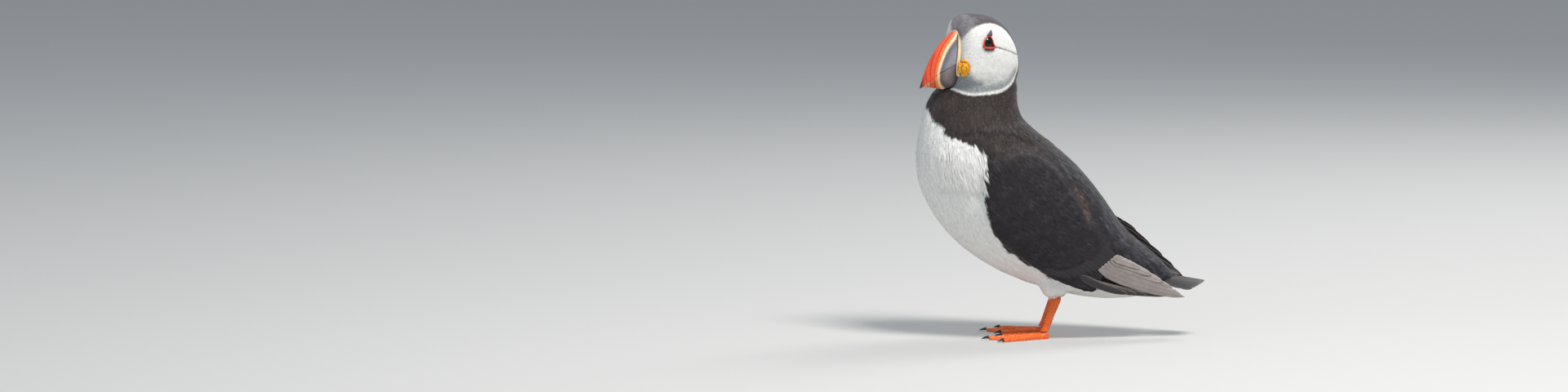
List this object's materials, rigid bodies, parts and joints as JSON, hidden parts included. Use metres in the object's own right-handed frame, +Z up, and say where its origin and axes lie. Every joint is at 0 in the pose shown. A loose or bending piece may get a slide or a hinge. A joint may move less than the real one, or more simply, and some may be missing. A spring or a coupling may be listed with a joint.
{
  "type": "atlantic puffin",
  "caption": "Life-size standing adult Atlantic puffin, a stout black and white seabird with a deep red, slate and cream bill and orange webbed feet, its head turned to its left",
  "frame": {"origin": "on the floor, under the middle of the bird's bounding box", "axes": "+Z up, the breast faces -Y, the bird's left side is +X"},
  "size_m": [0.0962, 0.2028, 0.2263],
  "materials": {
    "plumage_white": "soft matte feathers",
    "plumage_black": "close feathers with a faint sheen",
    "plumage_collar": "soft brown-black feathers",
    "flight_feathers": "smooth worn flight feathers",
    "bill_red": "smooth horn with curved grooves",
    "cere_cream": "pitted soft horn",
    "gape_yellow": "wrinkled bare skin",
    "eye_dark": "wet and glossy",
    "eye_ring_red": "bare fleshy ring",
    "eye_plate_slate": "small horny plates",
    "leg_orange": "scaled bare skin",
    "claw_horn": "dark smooth horn"
  },
  "bodies": {
    "root": {"bill_cere": "cere_cream", "bill_lower": "bill_red", "bill_upper": "bill_red", "claw_inner_left": "claw_horn", "claw_inner_right": "claw_horn", "claw_middle_left": "claw_horn", "claw_middle_right": "claw_horn", "claw_outer_left": "claw_horn", "claw_outer_right": "claw_horn", "eye_left": "eye_dark", "eye_plate_lower_left": "eye_plate_slate", "eye_plate_lower_right": "eye_plate_slate", "eye_plate_upper_left": "eye_plate_slate", "eye_plate_upper_right": "eye_plate_slate", "eye_right": "eye_dark", "eye_ring_left": "eye_ring_red", "eye_ring_right": "eye_ring_red", "foot_left": "leg_orange", "foot_right": "leg_orange", "gape_rosette_left": "gape_yellow", "gape_rosette_right": "gape_yellow", "head": "plumage_white", "neck": "plumage_collar", "primaries_left": "flight_feathers", "primaries_right": "flight_feathers", "tail": "plumage_black", "tarsus_left": "leg_orange", "tarsus_right": "leg_orange", "thigh_left": "plumage_white", "thigh_right": "plumage_white", "trunk": "plumage_white", "wing_left": "plumage_black", "wing_right": "plumage_black"}
  },
  "joints": []
}
